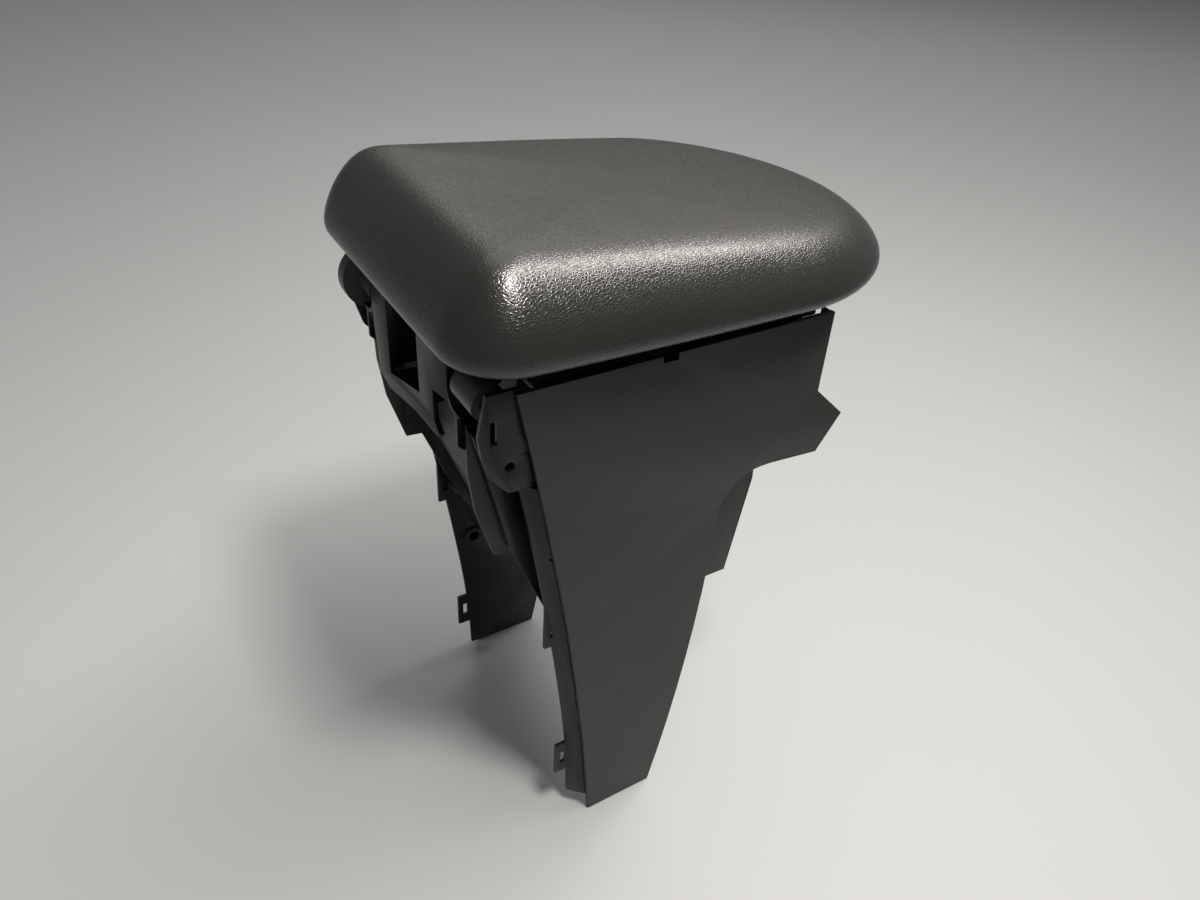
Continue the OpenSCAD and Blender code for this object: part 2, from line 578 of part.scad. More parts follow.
// Striker on the bin's front wall, behind the latch hook
striker_z = frame_top - 0.1;
module latch_striker() {
  color("silver") rotate([90, 0, 90]) translate([0, 0, -14]) linear_extrude(28)
    polygon([[bin_front_y(striker_z), striker_z], [rim_front, striker_z], [rim_front, striker_z - 16],
        [rim_front - 2, striker_z - 16],
             [rim_front - 2, striker_z - 2], [bin_front_y(striker_z - 2), striker_z - 2]]);
}

// Lid
lid_wide_y = foot_rear_y + 109;
lid_rear_y = lid_wide_y - lid_rear_len;
lid_len = lid_rear_len + lid_front_len;
corner_y = lid_rear_y + lid_corner_r;
liner_z = lid_z;
rest_gap = 0.1;
crown = 3;
// Right half of the rim's outline, inset by i: an elliptic front, a slightly bowed side and a round rear corner
function lid_half(i) = concat(
  [for (t = [0:7.5:90]) [(lid_half_w - i) * pow(sin(t), 2 / front_power),
                         lid_wide_y + (lid_front_len - i) * pow(cos(t), 2 / front_power)]],
  [for (k = [1:4]) let (u = k / 4) [lid_half_w - (lid_half_w - lid_rear_half_w)
      * u * u - i, lid_wide_y + (corner_y - lid_wide_y) * u]],
  [for (t = [15:15:90]) [lid_rear_half_w - lid_corner_r + (lid_corner_r - i)
      * cos(t), corner_y - (lid_corner_r - i) * sin(t)]]);
function lid_outline(i) = let (h = lid_half(i), m = len(h)) concat(h, [for (k = [m - 1:-1:1]) [-h[k][0],
    h[k][1]]]);
// Height of the pad's top above the rim at y
function top_h(y) = lid_rear_h + (lid_front_h - lid_rear_h) * (y - lid_rear_y) / lid_len;
// One ring of the lid's form, d inside its outer skin, at stage k: 0 to 1 is the bulging side, 1 to 2 the rounded edge
function lid_ring(d, k, z0) =
  k <= 1 ? [for (p = lid_outline(d - lid_bulge * sin(90 * k))) [p[0], p[1], lid_z + z0 + (bulge_up - z0) * k]]
         : let (a = 90 * (k - 1), c = 1 - pow(cos(a), 2 / edge_power), s = pow(sin(a), 2 / edge_power))
           [for (p = lid_outline(d - lid_bulge + (side_round - d) * c))
             [p[0], p[1], lid_z + bulge_up + (top_h(p[1]) - d - bulge_up) * s]];
// The crowned middle of the top: the last ring drawn in towards the centre by the factor f
function crown_ring(d, f) = [for (p = lid_ring(d, 2, 0)) [p[0] * f, p[1] * f, lid_z + top_h(p[1] * f)
    - d + crown * (1 - f * f)]];
module lid_form(d, z0) {
  loft(concat([for (k = [0, 0.5, 1, 1.2, 1.4, 1.6, 1.8, 2]) lid_ring(d, k, z0)], [for (f = [0.7, 0.35])
      crown_ring(d, f)]));
}
core_d = pad_t + 0.3;
liner_top = liner_z + liner_t;
lid_screw_x = half_w - 39;
lid_screw_y = [foot_rear_y + 12, foot_rear_y + 130];
lid_screw_places = [for (x = [lid_screw_x, -lid_screw_x]) for (y = lid_screw_y) [x, y]];
module lid_pad() {
  color([0.13, 0.13, 0.13]) difference() {
    lid_form(0, 0);
    lid_form(pad_t, -1);
  }
}
module lid_core() {
  color([0.2, 0.2, 0.2]) difference() {
    union() {
      difference() {
        lid_form(core_d, liner_top - lid_z);
        lid_form(core_d + core_t, liner_top - lid_z - 1);
      }
      for (p = lid_screw_places) translate([p[0], p[1], liner_top])
        cylinder(h = top_h(p[1]) - core_d - core_t / 2 - (liner_top - lid_z), r = 4.5, $fn = round_fn);
    }
    for (p = lid_screw_places) translate([p[0], p[1], liner_top - 1]) cylinder(h = 15, r = screw_r + pin_gap,
        $fn = round_fn);
  }
}
arm_w0 = 23;
arm_w1 = 35;
arm_slot = [hinge_at[0] + 8, hinge_at[0] + 25];
foot_front = hinge_at[0] + 56;
arm_screw_y = [hinge_at[0] + 34, hinge_at[0] + 48];
latch_at = [foot_rear_y + 164, liner_z - 6];
ear_t = 3;
module lid_liner() {
  color([0.16, 0.16, 0.16]) difference() {
    union() {
      translate([0, 0, liner_z]) linear_extrude(liner_t) polygon(lid_outline(core_d));
      for (y = [-95, -20, 55]) translate([-56, y, liner_top - eps]) cube([112, 2, 7]);
      for (s = [-1, 1]) translate([s * (lever_w / 2 + 0.4 + ear_t / 2)
          - ear_t / 2, latch_at[0] - 4, latch_at[1] - 4]) cube([ear_t, 8, 10.2]);
    }
    translate([-56, -96, liner_z - 1]) cube([112, 160, 2]);
    for (p = lid_screw_places) translate([p[0], p[1], liner_z - 1]) cylinder(h = 12, r = screw_r + pin_gap,
        $fn = round_fn);
    for (s = [-1, 1]) translate([s * (half_w - (arm_w0 + arm_w1) / 2) - (arm_w1 - arm_w0)
        / 2 - 0.5, arm_slot[0] - 0.5, liner_z - 1])
      cube([arm_w1 - arm_w0 + 1, arm_slot[1] - arm_slot[0] + 1, liner_t + 2]);
    for (s = [-1, 1]) for (y = arm_screw_y) translate([s * (half_w - (arm_w0 + arm_w1) / 2), y, liner_z - 1])
      cylinder(h = liner_t + 2, r = screw_r + pin_gap, $fn = round_fn);
    translate([-lever_w, latch_at[0], latch_at[1]]) rotate([0, 90, 0])
        cylinder(h = 2 * lever_w, r = latch_pin_r + pin_gap, $fn = round_fn);
  }
}
module lid_screws() {
  color("silver") for (p = lid_screw_places) translate([p[0], p[1], liner_z + 1]) mirror([0, 0, 1])
      translate([0, 0, -13]) pan_screw(14);
}
// Hinge arms: a knuckle on the pin, a gooseneck through the lid's lower cover and a foot screwed down on it
module hinge_arm(drum = false) {
  color([0.22, 0.22, 0.22]) difference() {
    union() {
      if (drum) intersection() {
        cross_pin(hinge_at, drum_r, knuckle_w0, knuckle_w0 + drum_w);
        wall(0, pocket_w1) translate([hinge_at[0] - 30, hinge_z - 30])
            square([60, liner_z - 1.5 - hinge_z + 30]);
      }
      cross_pin(hinge_at, knuckle_r, knuckle_w0, knuckle_w1);
      wall(arm_w0, arm_w1 - arm_w0) polygon([[hinge_at[0] - 7, hinge_z + 6], [hinge_at[0] + 9, hinge_z + 3],
          [arm_slot[1], liner_z - 1],
        [arm_slot[1], liner_top + 3.2], [arm_slot[0], liner_top + 3.2], [arm_slot[0], liner_z - 1]]);
      wall(arm_w0 - 2, arm_w1 - arm_w0 + 4) translate([arm_slot[0] + 4, liner_top])
          square([foot_front - arm_slot[0] - 4, 3.2]);
    }
    cross_pin(hinge_at, pin_r + pin_gap, knuckle_w0 - 1, knuckle_w1 + 1);
    for (y = arm_screw_y) translate([half_w - (arm_w0 + arm_w1) / 2, y, liner_top - 1])
        cylinder(h = 6, r = screw_r + pin_gap, $fn = round_fn);
  }
}
module right_hinge_arm() hinge_arm();
module left_hinge_arm() left_copy() hinge_arm(true);
module hinge_screws() {
  color("silver") for (s = [-1, 1]) for (y = arm_screw_y) translate([s * (half_w - (arm_w0 + arm_w1)
      / 2), y, liner_z + 0.3])
    pan_screw(liner_t + 3.2 - 0.3);
}

// Latch lever under the lid's front, on a pin between two ears of the lid's lower cover
hook_y = rim_front + latch_gap;
module latch_lever() {
  color([0.14, 0.14, 0.14]) difference() {
    union() {
      translate([-lever_w / 2, hook_y, latch_at[1] - 1.5]) cube([lever_w, latch_at[0] + 28 - hook_y, lever_t]);
      translate([-lever_w / 2, latch_at[0], latch_at[1]]) rotate([0, 90, 0])
          cylinder(h = lever_w, r = 3.4, $fn = round_fn);
      translate([-12, hook_y, latch_at[1] - 16]) cube([24, lever_t, 16]);
      translate([-lever_w / 2, latch_at[0] + 25, latch_at[1] - 5]) cube([lever_w, 3, 5]);
    }
    translate([-6, latch_at[0] - 5, latch_at[1] - 6]) cube([12, 10, 12]);
    translate([-lever_w, latch_at[0], latch_at[1]]) rotate([0, 90, 0])
        cylinder(h = 2 * lever_w, r = latch_pin_r + pin_gap, $fn = round_fn);
  }
}
module latch_pin() {
  color("silver") translate([-(lever_w / 2 + 0.4 + ear_t), latch_at[0], latch_at[1]]) rotate([0, 90, 0])
    cylinder(h = lever_w + 0.8 + 2 * ear_t, r = latch_pin_r, $fn = round_fn);
}
// Torsion spring round the latch pin, as a helix of round wire
spring_r = 2.6;
wire_r = 0.4;
spring_turns = 5;
module latch_spring() {
  n = spring_turns * 10;
  color("silver") translate([0, latch_at[0], latch_at[1]]) rotate([0, 90, 0])
    helix(spring_r, wire_r, 10, n);
}
// A round wire of radius w wound with radius r along Z over the length len
module helix(r, w, len, n, m = 6) {
  loft([for (i = [0:n]) let (a = 360 * spring_turns * i / n)
    [for (j = [0:m - 1]) let (q = r + w * cos(360 * j / m)) [q * cos(a), q * sin(a), len * (i / n - 0.5)
        + w * sin(360 * j / m)]]]);
}

right_trim_panel();
left_trim_panel();
right_side_frame();
left_side_frame();
right_trim_clips();
left_trim_clips();
hinge_bracket();
bracket_screws();
storage_bin();
bin_mat();
bin_screws();
lid_bumpers();
latch_striker();
right_hinge_pin();
left_hinge_pin();
lid_pad();
lid_core();
lid_liner();
lid_screws();
right_hinge_arm();
left_hinge_arm();
hinge_screws();
latch_lever();
latch_pin();
latch_spring();
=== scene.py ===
# %% [markdown]
# # Car centre armrest
# A padded, leather-grained lid over a deep storage bin, on two side frames with legs. The solid pieces
# come from the CAD frame. This script gives six of them rounded edges, makes the lid's padded skin, and
# paints everything with procedural materials that read Object coordinates in metres.

import math

import bmesh
import bpy
import numpy as np
from mathutils import Matrix, Vector


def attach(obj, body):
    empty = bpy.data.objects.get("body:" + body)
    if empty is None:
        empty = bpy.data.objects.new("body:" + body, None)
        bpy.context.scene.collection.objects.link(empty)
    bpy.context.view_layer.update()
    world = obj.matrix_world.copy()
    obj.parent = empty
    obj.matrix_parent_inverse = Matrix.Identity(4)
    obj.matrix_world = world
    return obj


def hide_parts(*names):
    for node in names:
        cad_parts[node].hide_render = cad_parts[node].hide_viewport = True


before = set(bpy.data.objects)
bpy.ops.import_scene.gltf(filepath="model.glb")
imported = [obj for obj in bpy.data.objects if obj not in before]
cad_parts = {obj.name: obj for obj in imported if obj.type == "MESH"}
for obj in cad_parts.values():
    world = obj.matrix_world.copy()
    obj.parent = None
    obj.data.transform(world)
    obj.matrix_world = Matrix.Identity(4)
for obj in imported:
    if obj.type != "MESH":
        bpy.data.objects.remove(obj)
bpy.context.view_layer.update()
MM = 0.001

# %% [markdown]
# ## Camera
# The view could be matched by eye. Here the place, the direction and the lens were solved from points in
# the photograph that lie on a square grid, so that a render can be laid over the photograph. The camera
# rolls by four degrees, as a hand-held one does.

# %% Camera at the photograph's viewpoint
CAMERA_PLACE = (0.4302, -0.2970, 0.6185)
VIEW_FORWARD = (-0.6785, 0.4502, -0.5805)
VIEW_RIGHT = (0.5176, 0.8537, 0.0573)
SENSOR_MM, LENS_MM, NEAREST = 36, 27.66, 0.01

camera = bpy.data.objects.new("camera", bpy.data.cameras.new("camera"))
bpy.context.scene.collection.objects.link(camera)
bpy.context.scene.camera = camera
forward = Vector(VIEW_FORWARD).normalized()
right = Vector(VIEW_RIGHT)
right = (right - forward * right.dot(forward)).normalized()
axes = Matrix((right, right.cross(forward), -forward)).transposed().to_4x4()
camera.matrix_world = Matrix.Translation(CAMERA_PLACE) @ axes
camera.data.sensor_width = SENSOR_MM
camera.data.lens = LENS_MM
camera.data.clip_start = NEAREST
print("camera at", tuple(round(v, 3) for v in camera.location))

# %% [markdown]
# ## Floor and light
# A satin skin shows its shape by what it mirrors, so the lamps were placed by following camera rays off
# the lid. A long lamp overhead makes the bright streak along the lid's near edge, a small one makes the
# bright corner, and a broad one from behind and an even pale sky light the rest. The floor is plain.


# %% Floor, lamps and sky
LAMP_TINT = (1.0, 0.96, 0.89)
SKY_TINT, SKY_STRENGTH = (0.97, 0.98, 1.0), 0.17
LID_CORNER, LID_SIDE, FLOOR_BEHIND = (0.09, -0.12, 0.44), (0.09, -0.08, 0.44), (-0.3, 0.3, 0.0)


def area_lamp(name, place, aim, size, watts):
    """A square lamp of the given edge length that faces the point aim."""
    lamp = bpy.data.objects.new(name, bpy.data.lights.new(name, "AREA"))
    bpy.context.scene.collection.objects.link(lamp)
    lamp.data.size, lamp.data.energy, lamp.data.color = size, watts, LAMP_TINT
    lamp.location = place
    lamp.rotation_euler = (Vector(aim) - Vector(place)).to_track_quat("-Z", "Y").to_euler()


def strip_lamp(name, first, last, aim, width, watts):
    """An oblong lamp whose long axis runs from first to last and whose face is turned to the point aim."""
    first, last = Vector(first), Vector(last)
    middle = (first + last) / 2
    back = (middle - Vector(aim)).normalized()
    along = (last - first).normalized()
    along = (along - back * along.dot(back)).normalized()
    lamp = bpy.data.objects.new(name, bpy.data.lights.new(name, "AREA"))
    bpy.context.scene.collection.objects.link(lamp)
    lamp.data.shape = "RECTANGLE"
    lamp.data.size, lamp.data.size_y, lamp.data.energy = (last - first).length, width, watts
    lamp.data.color = LAMP_TINT
    turn = Matrix((along, back.cross(along), back)).transposed().to_4x4()
    lamp.matrix_world = Matrix.Translation(middle) @ turn


def flat_square(name, half, z):
    """A level square with edge 2 * half at height z."""
    corners = [(-half, -half, z), (half, -half, z), (half, half, z), (-half, half, z)]
    mesh = bpy.data.meshes.new(name)
    mesh.from_pydata(corners, [], [(0, 1, 2, 3)])
    obj = bpy.data.objects.new(name, mesh)
    bpy.context.scene.collection.objects.link(obj)
    return obj


floor = flat_square("floor", half=6.0, z=-0.0005)
area_lamp("corner_lamp", (0.60, 0.0, 1.55), LID_CORNER, size=0.24, watts=19.0)
strip_lamp("key_lamp", (0.56, -0.02, 1.58), (-0.22, 0.95, 1.33), LID_SIDE, width=0.26, watts=16.0)
area_lamp("ceiling_lamp", (-1.3, 1.3, 2.6), FLOOR_BEHIND, size=3.6, watts=46.0)
world = bpy.data.worlds.new("sky")
bpy.context.scene.world = world
world.use_nodes = True
world.node_tree.nodes["Background"].inputs["Color"].default_value = (*SKY_TINT, 1)
world.node_tree.nodes["Background"].inputs["Strength"].default_value = SKY_STRENGTH
bpy.context.scene.view_settings.view_transform = "Standard"

# %% [markdown]
# ## Shading expressions
# A small class wraps a node's output socket, so that a material reads like arithmetic. Each operator
# makes one Math node. Colours and vectors go through Mix and Vector Math nodes.


# %% A socket that can be added, multiplied and mixed
class Wire:
    """One output socket in a material's node tree, with arithmetic."""

    def __init__(self, tree, socket):
        self.tree, self.socket = tree, socket

    def node(self, kind, inputs=(), out=0, **settings):
        """Makes a node of the given kind; inputs maps a socket's name or number to a Wire or a value."""
        made = self.tree.nodes.new(kind)
        for key, value in settings.items():
            setattr(made, key, value)
        for key, value in dict(inputs).items():
            if isinstance(value, Wire):
                self.tree.links.new(value.socket, made.inputs[key])
            else:
                made.inputs[key].default_value = value
        return Wire(self.tree, made.outputs[out])

    def math(self, operation, *others):
        return self.node("ShaderNodeMath", dict(enumerate((self, *others))), operation=operation)

    def __add__(self, other):
        return self.math("ADD", other)

    def __sub__(self, other):
        return self.math("SUBTRACT", other)

    def __mul__(self, other):
        return self.math("MULTIPLY", other)

    def __neg__(self):
        return self.math("MULTIPLY", -1.0)

    def __rsub__(self, other):
        return -self + other

    __radd__, __rmul__ = __add__, __mul__

    def smooth(self, low, high):
        """0 below low, 1 above high, and a smooth step between them."""
        return self.node("ShaderNodeMapRange", {0: self, 1: low, 2: high}, interpolation_type="SMOOTHSTEP")

    def ramp(self, dark, light):
        """A colour between dark and light, by this value from 0 to 1."""
        return self.node("ShaderNodeMix", {0: self, 6: (*dark, 1), 7: (*light, 1)}, out=2, data_type="RGBA")

    def scaled(self, x, y, z):
        """This vector times three numbers."""
        return self.node("ShaderNodeVectorMath", {0: self, 1: (x, y, z)}, operation="MULTIPLY")

    def shifted(self, other):
        """This vector plus another one."""
        return self.node("ShaderNodeVectorMath", {0: self, 1: other}, operation="ADD")

    def noise(self, scale, detail=3.0, rough=0.55, out=0):
        inputs = {"Vector": self, "Scale": scale, "Detail": detail, "Roughness": rough}
        return self.node("ShaderNodeTexNoise", inputs, out=out)

    def cells(self, scale, feature="F1"):
        return self.node("ShaderNodeTexVoronoi", {"Vector": self, "Scale": scale}, feature=feature)


def material(name):
    """An empty Principled material: its shader node, and the piece's Object coordinates in metres."""
    made = bpy.data.materials.new(name)
    made.use_nodes = True
    tree = made.node_tree
    shader = tree.nodes["Principled BSDF"]
    where = Wire(tree, tree.nodes.new("ShaderNodeTexCoord").outputs["Object"])
    return made, shader, where


def finish_material(made, shader, colour, rough, bumps=(), metal=0.0, shine=0.5):
    """Sets colour and roughness, and chains bumps given as (height, depth in metres)."""
    tree = made.node_tree
    for socket, value in (("Base Color", colour), ("Roughness", rough)):
        if isinstance(value, Wire):
            tree.links.new(value.socket, shader.inputs[socket])
        else:
            shader.inputs[socket].default_value = (*value, 1) if socket == "Base Color" else value
    shader.inputs["Metallic"].default_value = metal
    shader.inputs["Specular IOR Level"].default_value = shine
    normal = None
    for height, depth in bumps:
        inputs = {"Height": height, "Distance": depth, "Strength": 1.0}
        if normal is not None:
            inputs["Normal"] = normal
        normal = height.node("ShaderNodeBump", inputs)
    if normal is not None:
        tree.links.new(normal.socket, shader.inputs["Normal"])
    return made


print("shading class ready")

# %% [markdown]
# ## Materials
# Moulded plastic has a fine, sharp grain and a satin gloss that varies a little, rubber is dull, and drawn
# steel has fine lines. Pictures could give such finishes, but noises and cells on Object coordinates need
# no unwrapping and keep one real size on every piece. Scales are counts per metre, and depths are metres.


# %% Plastics, rubber, metal and the floor
def plastic(name, dark, light, gloss, grain_depth, grain=1500.0, shine=0.4):
    made, shader, where = material(name)
    cloud = where.noise(18.0, 4.0)
    wear = where.noise(140.0, 5.0, 0.7).smooth(0.52, 0.72)
    rough = gloss + (cloud - 0.5) * 0.10 + wear * 0.05
    bumps = [(where.cells(grain), grain_depth), (where.noise(600.0, 2.0), grain_depth * 0.6)]
    return finish_material(made, shader, cloud.ramp(dark, light), rough, bumps, shine=shine)


def rubber(name, tone):
    made, shader, where = material(name)
    cloud = where.noise(40.0)
    return finish_material(made, shader, cloud.ramp(tone, [t * 1.5 for t in tone]), 0.75 + cloud * 0.15,
                           [(where.noise(900.0, 3.0), 0.00006)])


def metal(name, tone, gloss):
    made, shader, where = material(name)
    lines = where.scaled(1, 1, 12).noise(220.0, 4.0)
    return finish_material(made, shader, lines.ramp([t * 0.8 for t in tone], tone), gloss + lines * 0.15,
                           [(lines, 0.00001)], metal=1.0)


COARSE, DULL = 900.0, 0.28
trim_plastic = plastic("trim_plastic", (0.0140, 0.0135, 0.0123), (0.0175, 0.0168, 0.0154), 0.47, 0.00004)
frame_plastic = plastic("frame_plastic", (0.0038, 0.0038, 0.0035), (0.0058, 0.0058, 0.0054), 0.36,
                        0.00003, COARSE, DULL)
bracket_plastic = plastic("bracket_plastic", (0.0042, 0.0042, 0.0039), (0.0062, 0.0062, 0.0058), 0.40,
                          0.00003, COARSE, DULL)
bin_plastic = plastic("bin_plastic", (0.016, 0.016, 0.016), (0.022, 0.022, 0.022), 0.50, 0.00004)
liner_plastic = plastic("liner_plastic", (0.020, 0.020, 0.020), (0.028, 0.028, 0.027), 0.50, 0.00005)
arm_plastic = plastic("arm_plastic", (0.050, 0.050, 0.048), (0.066, 0.066, 0.063), 0.38, 0.00002, COARSE)
# The clips are painted pale so that they show as the small glints in the groove between panel and frame: a
# painted glint, not the clips' own colour.
clip_plastic = plastic("clip_plastic", (0.60, 0.58, 0.50), (0.68, 0.66, 0.58), 0.45, 0.00001, COARSE)
mat_rubber = rubber("mat_rubber", (0.012, 0.012, 0.012))
steel = metal("steel", (0.55, 0.55, 0.56), 0.30)
floor_made, floor_shader, floor_where = material("floor_paint")
floor_tone = floor_where.noise(1.5, 5.0).ramp((0.405, 0.412, 0.425), (0.435, 0.442, 0.455))
finish_material(floor_made, floor_shader, floor_tone, 0.55, [(floor_where.noise(60.0), 0.0001)])
floor.data.materials.append(floor_made)
print(len(bpy.data.materials), "materials")

# %% [markdown]
# ## Leather grain
# The pad's skin is moulded with round pebbles, here about a millimetre and a half across and a little
# longer along the lid, over a much finer grain. A picture would stretch at the pad's rim. The pebbles come
# from the distance to a cell's border instead, and a noise bends them so that no row shows.


# %% The pad's skin
PEBBLES, FINE_PEBBLES = 600.0, 1250.0
SQUASH, BEND = (1.25, 0.9, 1.1), 0.0007
SKIN_DARK, SKIN_LIGHT = (0.0102, 0.0097, 0.0087), (0.0175, 0.0166, 0.0149)

pad_skin, shader, where = material("pad_skin")
bent = where.shifted(where.noise(330.0, 2.0, out=1).scaled(BEND, BEND, BEND))
pebbles = bent.scaled(*SQUASH).cells(PEBBLES, "DISTANCE_TO_EDGE").smooth(0.0, 0.30)
fine = bent.cells(FINE_PEBBLES, "DISTANCE_TO_EDGE").smooth(0.0, 0.4)
broad = where.noise(9.0, 3.0)
blotch = where.noise(45.0, 4.0)
tone = (broad * 0.6 + pebbles * 0.4).ramp(SKIN_DARK, SKIN_LIGHT)
rough = 0.29 + (blotch - 0.5) * 0.06 - pebbles * 0.05
bumps = [(broad, 0.0012), (pebbles, 0.00007), (fine, 0.00001)]
finish_material(pad_skin, shader, tone, rough, bumps, shine=0.72)
print("leather grain ready")

# %% [markdown]
# ## The padded lid
# The real pad is foam under a skin whose hem turns under at the rim. It could be simulated whole, but that
# gave dents and folds that a moulded pad doesn't have. So it is one surface with two parameters. The first
# goes round the lid's outline: a half ellipse in front, a slightly bowed side and round rear corners. The
# second goes from the hem up the bulging side, over the rounded edge and across the crowned top to its
# middle. A short cloth simulation with pressure from inside then swells the skin by less than 1.5 mm.


# %% The lid's outline and rings
WIDE_Y, REAR_Y, FRONT_LEN = 45.0, -139.0, 94.0
HALF_W, REAR_HALF_W, CORNER_R = 98.0, 94.0, 17.0
EDGE_Z, BULGE, BULGE_UP, RIM_Z = 388.0, 21.5, 14.5, 391.6
REAR_H, FRONT_H, ROUND, CROWN = 61.0, 34.5, 32.0, 3.0
EDGE_POWER, FRONT_POWER = 1.5, 1.9
LID_LEN = WIDE_Y + FRONT_LEN - REAR_Y
SIDE_FROM, CORNER_FROM, REAR_FROM = 0.42, 0.72, 0.87
HEM = ((7.0, 389.6), (6.0, 388.6), (3.0, 388.05), (0.8, 388.0), (0.0, 388.35),
       (0.0, RIM_Z - 0.8), (0.9, RIM_Z))
ROUND_STEPS, SIDE_RINGS, EDGE_RINGS, TOP_RINGS, SOFTEN = 180, 13, 21, 27, 22
HELD_RINGS = len(HEM) + 1
SWELL_MOST, WALL = 1.5 * MM, 2.0 * MM


def outline(inset):
    """Points round the rim, drawn in by inset. Half of them lie on the right side: powers of sin and cos to
    the widest place, then a parabola to the corner, then a quarter circle, then the straight rear edge."""
    share = (np.arange(ROUND_STEPS) + 0.5) / ROUND_STEPS * 2.0
    s = np.where(share < 1, share, 2 - share)
    side = np.where(share < 1, 1.0, -1.0)
    a = np.clip(s / SIDE_FROM, 0, 1) * np.pi / 2
    b = np.clip((s - SIDE_FROM) / (CORNER_FROM - SIDE_FROM), 0, 1)
    c = np.clip((s - CORNER_FROM) / (REAR_FROM - CORNER_FROM), 0, 1) * np.pi / 2
    d = np.clip((s - REAR_FROM) / (1 - REAR_FROM), 0, 1)
    corner_y = REAR_Y + CORNER_R
    sine, cosine = np.sin(a) ** (2 / FRONT_POWER), np.maximum(np.cos(a), 0) ** (2 / FRONT_POWER)
    in_front, at_corner, behind = s < SIDE_FROM, s > CORNER_FROM, s > REAR_FROM
    x = np.where(in_front, (HALF_W - inset) * sine, HALF_W - (HALF_W - REAR_HALF_W) * b * b - inset)
    y = np.where(in_front, WIDE_Y + (FRONT_LEN - inset) * cosine, WIDE_Y + (corner_y - WIDE_Y) * b)
    x = np.where(at_corner, REAR_HALF_W - CORNER_R + (CORNER_R - inset) * np.cos(c), x)
    y = np.where(at_corner, corner_y - (CORNER_R - inset) * np.sin(c), y)
    x = np.where(behind, (REAR_HALF_W - CORNER_R) * (1 - d), x)
    return x * side, y


def top_height(y):
    """Height of the pad's top over its lower edge: it falls evenly towards the front."""
    return REAR_H + (FRONT_H - REAR_H) * (y - REAR_Y) / LID_LEN


def pad_rings():
    """Rings from the inside of the turned-under hem, up the side and over to the middle of the top. The hem
    is a list of insets and heights, the side bulges as a sine, the rounded edge is a superellipse's quarter
    and the crown a parabola. Each pass of softening moves a ring halfway to the mean of its neighbours."""
    rings = []
    for inset, z in HEM:
        x, y = outline(inset)
        rings.append(np.stack([x, y, np.full_like(x, z)], 1))
    for k in np.linspace(0, 1, SIDE_RINGS)[1:]:
        x, y = outline(-BULGE * np.sin(np.pi / 2 * k))
        rings.append(np.stack([x, y, np.full_like(x, RIM_Z + (EDGE_Z + BULGE_UP - RIM_Z) * k)], 1))
    for k in np.linspace(0, 1, EDGE_RINGS)[1:]:
        c = 1 - np.maximum(np.cos(np.pi / 2 * k), 0) ** (2 / EDGE_POWER)
        s = np.sin(np.pi / 2 * k) ** (2 / EDGE_POWER)
        x, y = outline(-BULGE + ROUND * c)
        rings.append(np.stack([x, y, EDGE_Z + BULGE_UP + (top_height(y) - BULGE_UP) * s], 1))
    last = rings[-1]
    for f in np.linspace(1, 0, TOP_RINGS)[1:-1]:
        x, y = last[:, 0] * f, last[:, 1] * f
        rings.append(np.stack([x, y, EDGE_Z + top_height(y) + CROWN * (1 - f * f)], 1))
    rings = np.array(rings)
    for _ in range(SOFTEN):
        bend = rings[HELD_RINGS - 1:-2] + rings[HELD_RINGS + 1:] - 2 * rings[HELD_RINGS:-1]
        rings[HELD_RINGS:-1] += 0.25 * bend
    return rings * MM


def ring_mesh(name, rings):
    """A mesh of quads between neighbouring rings, closed by a fan to the mean of the last ring."""
    n, m = rings.shape[:2]
    i, j = np.meshgrid(np.arange(n - 1), np.arange(m), indexing="ij")
    k = (j + 1) % m
    quads = np.stack([i * m + j, (i + 1) * m + j, (i + 1) * m + k, i * m + k], -1).reshape(-1, 4)
    points = np.concatenate([rings.reshape(-1, 3), rings[-1].mean(0)[None]])
    last = (n - 1) * m + np.arange(m)
    fan = np.stack([last, np.full(m, n * m), np.roll(last, -1)], -1)
    faces = quads.tolist() + fan.tolist()
    mesh = bpy.data.meshes.new(name)
    mesh.from_pydata(points.tolist(), [], faces)
    mesh.shade_smooth()
    obj = bpy.data.objects.new(name, mesh)
    bpy.context.scene.collection.objects.link(obj)
    return obj


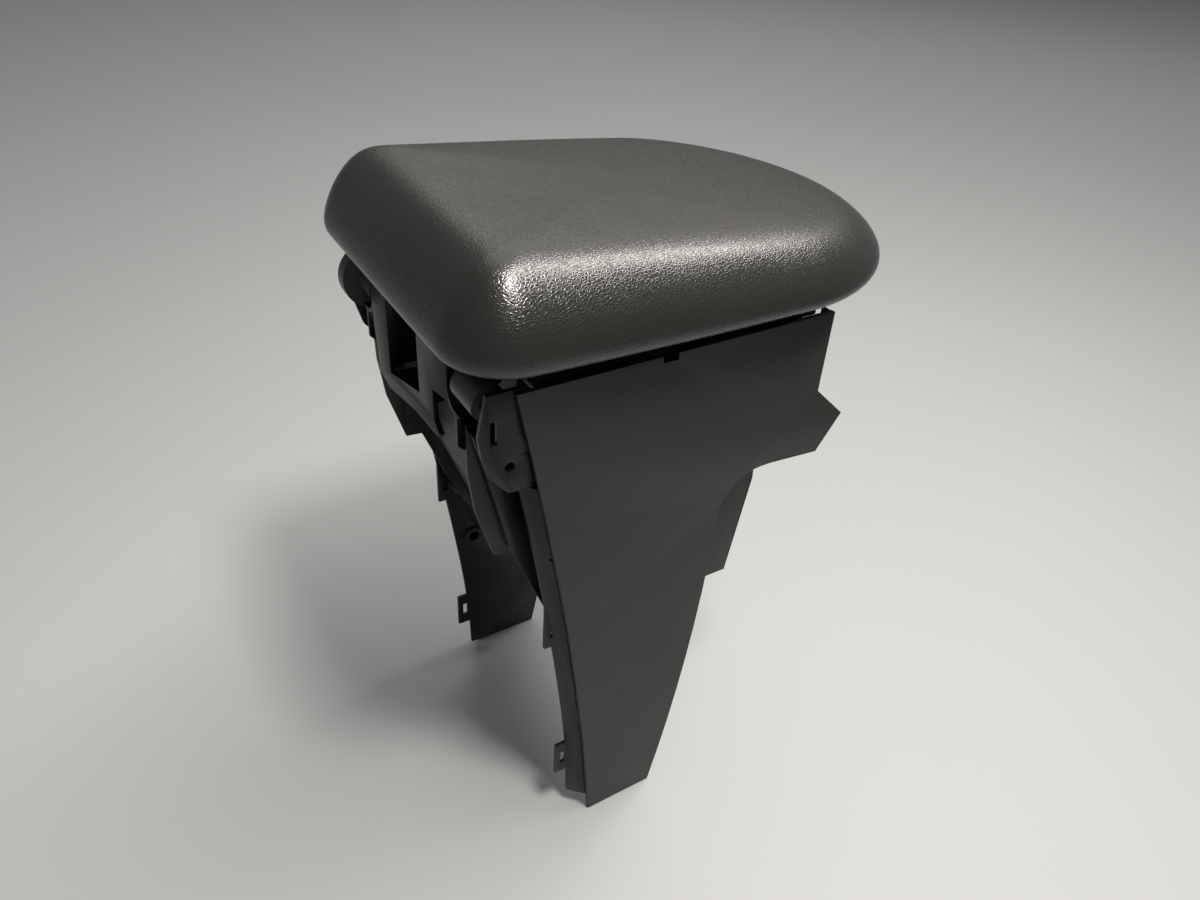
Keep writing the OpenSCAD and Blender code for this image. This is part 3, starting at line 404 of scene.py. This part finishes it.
def swell(obj, held_rings, most, pressure=4.0, passes=80, frames=20):
    """Swells the mesh by a cloth simulation with pressure from inside and no gravity, its first rings held.
    Of a point's travel the part t along its normal counts, as most * tanh(t / most) where it is positive,
    averaged over neighbours along and across the rings."""
    group = obj.vertex_groups.new(name="held")
    group.add(list(range(held_rings * ROUND_STEPS)), 1.0, "REPLACE")
    cloth = obj.modifiers.new("cloth", "CLOTH")
    cloth.settings.use_pressure, cloth.settings.uniform_pressure_force = True, pressure
    cloth.settings.vertex_group_mass = group.name
    cloth.settings.effector_weights.gravity = 0.0
    cloth.point_cache.frame_end = frames
    for number in range(1, frames + 1):
        bpy.context.scene.frame_set(number)
    solved = obj.evaluated_get(bpy.context.evaluated_depsgraph_get()).to_mesh()
    start, end, normal = (np.empty(3 * len(solved.vertices)) for _ in range(3))
    obj.data.vertices.foreach_get("co", start)
    obj.data.vertices.foreach_get("normal", normal)
    solved.vertices.foreach_get("co", end)
    outward = ((end - start) * normal).reshape(-1, 3).sum(1)
    outward = most * np.tanh(np.maximum(outward, 0) / most)
    grid = outward[:-1].reshape(-1, ROUND_STEPS)
    grid[:held_rings] = 0
    for _ in range(passes):
        bend = grid[held_rings - 1:-2] + grid[held_rings + 1:] - 2 * grid[held_rings:-1]
        grid[held_rings:-1] += 0.25 * bend
        grid += 0.25 * (np.roll(grid, 1, 1) + np.roll(grid, -1, 1) - 2 * grid)
        grid[-1] = grid[-2].mean()
    outward[-1] = grid[-1, 0]
    obj.modifiers.remove(cloth)
    obj.vertex_groups.remove(group)
    bpy.context.scene.frame_set(1)
    obj.data.vertices.foreach_set("co", start + normal * np.repeat(outward, 3))
    obj.data.update()
    return float(outward.max())


pad = ring_mesh("lid_pad_skin", pad_rings())
print("largest travel in mm:", round(swell(pad, HELD_RINGS, SWELL_MOST) / MM, 1))
pad.data.materials.append(pad_skin)
pad.data.materials.append(liner_plastic)
hem_faces = np.zeros(len(pad.data.polygons), dtype=np.int32)
hem_faces[: (len(HEM) - 1) * ROUND_STEPS] = 1
pad.data.polygons.foreach_set("material_index", hem_faces)
smooth = pad.modifiers.new("smooth", "SUBSURF")
smooth.levels = smooth.render_levels = 1
wall = pad.modifiers.new("wall", "SOLIDIFY")
wall.thickness, wall.offset = WALL, -1.0
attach(pad, "lid")
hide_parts("lid_pad")
print("pad:", len(pad.data.vertices), "points")

# %% [markdown]
# ## Rounded edges
# A moulded piece has no knife edges. They could be filleted one by one in the CAD source, but a Bevel
# modifier rounds them all at once, and the solids stay simple. Each large moulded piece that shows is
# copied, its loose triangles are joined and its flat areas cleared, and every edge sharper than 28 degrees
# is rounded.


# %% Rounded copies of the CAD pieces
SHARP, FLAT = math.radians(28.0), math.radians(1.0)
MERGE, EDGE_STEPS = 0.01 * MM, 2


def rounded(node, body, finish, width):
    """A copy of the CAD node with edges rounded by width metres, which stands for it."""
    source = bpy.data.objects[node]
    mesh = source.data.copy()
    mesh.transform(source.matrix_world)
    work = bmesh.new()
    work.from_mesh(mesh)
    bmesh.ops.remove_doubles(work, verts=work.verts, dist=MERGE)
    bmesh.ops.dissolve_limit(work, angle_limit=FLAT, verts=work.verts, edges=work.edges)
    work.to_mesh(mesh)
    work.free()
    mesh.materials.clear()
    mesh.materials.append(finish)
    obj = bpy.data.objects.new(node + "_rounded", mesh)
    bpy.context.scene.collection.objects.link(obj)
    bevel = obj.modifiers.new("edges", "BEVEL")
    bevel.width, bevel.segments, bevel.limit_method = width, EDGE_STEPS, "ANGLE"
    bevel.angle_limit = SHARP
    bevel.harden_normals = True
    mesh.shade_smooth()
    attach(obj, body)
    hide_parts(node)


bpy.context.view_layer.update()
for node, slot, finish, width in (
    ("right_trim_panel", "trim_plastic", trim_plastic, 0.6 * MM),
    ("left_trim_panel", "trim_plastic", trim_plastic, 0.6 * MM),
    ("right_side_frame", "frame_plastic", frame_plastic, 0.3 * MM),
    ("left_side_frame", "frame_plastic", frame_plastic, 0.3 * MM),
    ("hinge_bracket", "bracket_plastic", bracket_plastic, 0.3 * MM),
    ("storage_bin", "bin_plastic", bin_plastic, 0.4 * MM),
):
    rounded(node, "base", finish, width)

# %% [markdown]
# ## Pieces that keep their CAD shape
# Screws, pins, clips, the mat, the stops, the hinge arms, the latch and the hidden parts of the lid are too
# small or too well hidden for rounded edges to show. They are painted only. The clips get a pale painted
# glint.

# %% Paint the remaining CAD nodes
paint = (
    # The pale clip colour is a painted glint.
    (clip_plastic, ("right_trim_clips", "left_trim_clips")),
    (mat_rubber, ("bin_mat", "lid_bumpers")),
    (steel, ("bracket_screws", "bin_screws", "lid_screws", "hinge_screws")),
    (steel, ("right_hinge_pin", "left_hinge_pin", "latch_pin", "latch_striker", "latch_spring")),
    (liner_plastic, ("lid_core", "lid_liner", "latch_lever")),
    (arm_plastic, ("right_hinge_arm", "left_hinge_arm")),
)
for finish, nodes in paint:
    for node in nodes:
        obj = bpy.data.objects[node]
        obj.data.materials.clear()
        obj.data.materials.append(finish)
print("painted", sum(len(nodes) for _, nodes in paint), "nodes")
